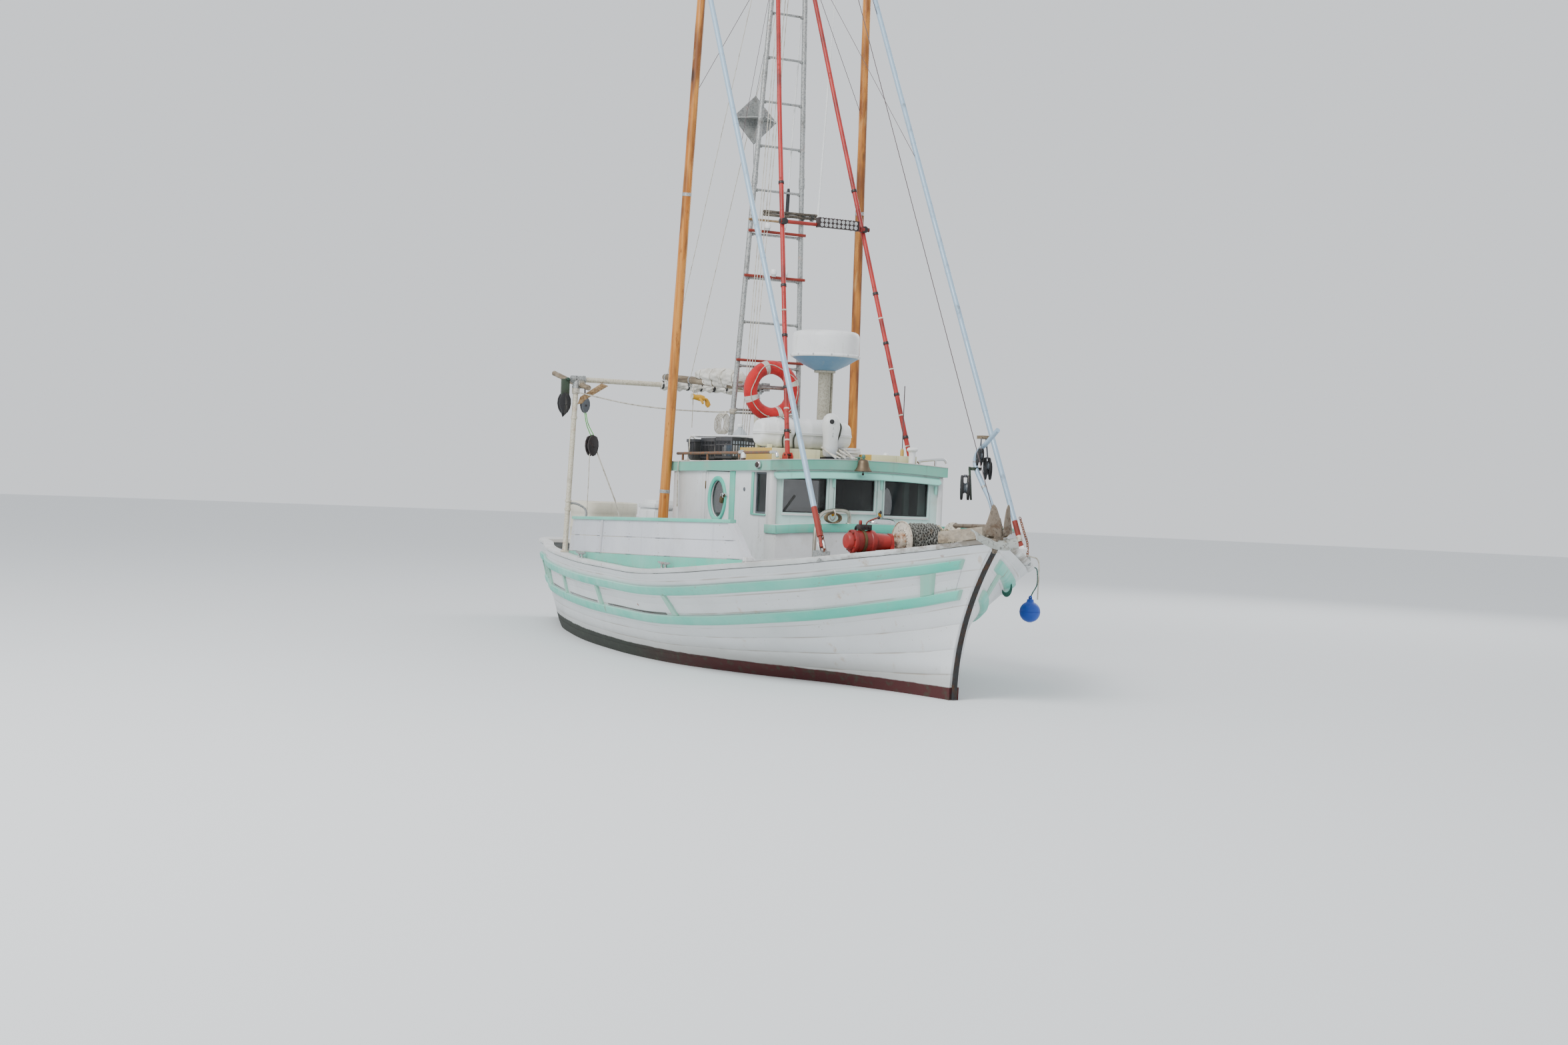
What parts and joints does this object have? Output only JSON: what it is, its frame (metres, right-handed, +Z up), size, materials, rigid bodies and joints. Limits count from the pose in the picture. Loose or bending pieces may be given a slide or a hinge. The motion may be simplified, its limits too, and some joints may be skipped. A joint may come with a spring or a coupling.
{
  "type": "fishing trawler",
  "caption": "Small double-ended wooden salmon troller with wheelhouse, open mast, upright trolling poles, deck winch, hold hatch and rudder.",
  "frame": {"origin": "amidships on the centreline, at the level of the water the boat floats on", "axes": "+X towards the bow, +Y to port, +Z up"},
  "size_m": [9.922, 3.328, 10.535],
  "materials": {
    "white_paint": "white gloss paint on planks, stained and scuffed",
    "turquoise_paint": "turquoise gloss paint",
    "mint_paint": "pale mint paint",
    "deck_paint": "grey deck paint, worn",
    "cream_paint": "cream paint",
    "varnished_wood": "amber varnish over softwood",
    "bare_wood": "weathered bare wood",
    "antifouling": "dark red antifouling",
    "galvanised_pipe": "galvanised steel pipe",
    "stainless": "polished stainless steel",
    "red_paint": "red paint on steel, chipped",
    "blue_pipe": "pale blue weathered alloy pipe",
    "iron": "dark rusted iron",
    "window_glass": "clear window glass over a dark interior",
    "white_plastic": "white moulded plastic",
    "cream_plastic": "cream moulded plastic",
    "ring_cover": "red and white woven cover over foam",
    "canvas": "white canvas",
    "bronze": "bronze, dulled",
    "engine_paint": "grey-green engine paint",
    "fender_skin": "blue inflated vinyl"
  },
  "bodies": {
    "boat": {"hull": "white_paint", "keel": "antifouling", "stem_band": "iron", "deck": "deck_paint", "bulwark": "white_paint", "cap_rail": "white_paint", "fore_deck": "deck_paint", "rub_rails_starboard": "turquoise_paint", "rub_rails_port": "turquoise_paint", "house_front": "mint_paint", "house_side_starboard": "white_paint", "house_side_port": "white_paint", "house_back": "white_paint", "house_roof": "cream_paint", "roof_fascia": "turquoise_paint", "window_trim": "mint_paint", "trunk_cabin": "white_paint", "front_glass_starboard": "window_glass", "front_glass_centre": "window_glass", "front_glass_port": "window_glass", "engine": "engine_paint", "mast": "galvanised_pipe", "crosstree": "bare_wood", "lamp_bar": "red_paint", "gallows": "galvanised_pipe", "weather_boards_starboard": "white_paint", "weather_boards_port": "white_paint", "red_stay_starboard": "red_paint", "red_stay_port": "red_paint", "pole_step_starboard": "galvanised_pipe", "pole_step_port": "galvanised_pipe", "radome_post": "galvanised_pipe", "radome": "white_plastic", "life_ring": "ring_cover", "roof_boards": "cream_paint", "raft_canister": "white_plastic", "beacon": "white_plastic", "bell": "bronze", "winch_frame": "red_paint", "bow_roller": "iron", "anchor": "iron", "bow_davit": "blue_pipe", "trunk_rail": "stainless", "hatch_coaming": "white_paint", "bait_tank": "cream_plastic", "deck_locker": "white_plastic", "fender": "fender_skin", "radar_reflector": "galvanised_pipe"},
    "door": {"side_door": "white_paint"},
    "trolling_pole_starboard": {"trolling_pole_starboard": "varnished_wood"},
    "trolling_pole_port": {"trolling_pole_port": "varnished_wood"},
    "bow_pole_starboard": {"bow_pole_starboard": "blue_pipe"},
    "bow_pole_port": {"bow_pole_port": "blue_pipe"},
    "boom": {"boom": "bare_wood", "furled_sail": "canvas"},
    "winch_drum": {"winch_drum": "galvanised_pipe"},
    "propeller": {"propeller": "bronze"},
    "rudder": {"rudder": "antifouling"},
    "hatch_cover": {"hatch_cover": "white_paint"},
    "helm_wheel": {"helm_wheel": "varnished_wood"}
  },
  "joints": [
    {"name": "side_door_hinge", "type": "hinge", "parent": "boat", "child": "door", "pos_m": [1.345, -0.8974, 1.2], "axis": [0, 0, -1], "range_deg": [0, 95]},
    {"name": "trolling_pole_starboard_heel", "type": "hinge", "parent": "boat", "child": "trolling_pole_starboard", "pos_m": [0.64, -1.014, 1.18], "axis": [1, 0, 0], "range_deg": [0, 48]},
    {"name": "trolling_pole_port_heel", "type": "hinge", "parent": "boat", "child": "trolling_pole_port", "pos_m": [0.64, 1.014, 1.18], "axis": [-1, 0, 0], "range_deg": [0, 48]},
    {"name": "bow_pole_starboard_foot", "type": "hinge", "parent": "boat", "child": "bow_pole_starboard", "pos_m": [3.755, -0.975, 1.215], "axis": [0.6187, 0.7155, 0.3244], "range_deg": [0, 66]},
    {"name": "bow_pole_port_foot", "type": "hinge", "parent": "boat", "child": "bow_pole_port", "pos_m": [3.755, 0.975, 1.215], "axis": [-0.6465, 0.7021, -0.2986], "range_deg": [0, 66]},
    {"name": "boom_topping", "type": "hinge", "parent": "boat", "child": "boom", "pos_m": [0.56, 0, 2.62], "axis": [0, 1, 0], "range_deg": [0, 60]},
    {"name": "winch_drum_spin", "type": "hinge", "parent": "boat", "child": "winch_drum", "pos_m": [3.79, 0, 1.262], "axis": [0, 1, 0], "continuous": true},
    {"name": "propeller_spin", "type": "hinge", "parent": "boat", "child": "propeller", "pos_m": [-4.13, 0, -0.59], "axis": [1, 0, 0], "continuous": true},
    {"name": "rudder_stock", "type": "hinge", "parent": "boat", "child": "rudder", "pos_m": [-4.33, 0, -0.5], "axis": [0, 0, 1], "range_deg": [-35, 35]},
    {"name": "helm_wheel_spin", "type": "hinge", "parent": "boat", "child": "helm_wheel", "pos_m": [2.49, -0.38, 1.21], "axis": [1, 0, 0], "range_deg": [-525, 525]},
    {"name": "hatch_cover_hinge", "type": "hinge", "parent": "boat", "child": "hatch_cover", "pos_m": [-1.25, 0, 0.6565], "axis": [0, -1, 0], "range_deg": [0, 100]}
  ]
}
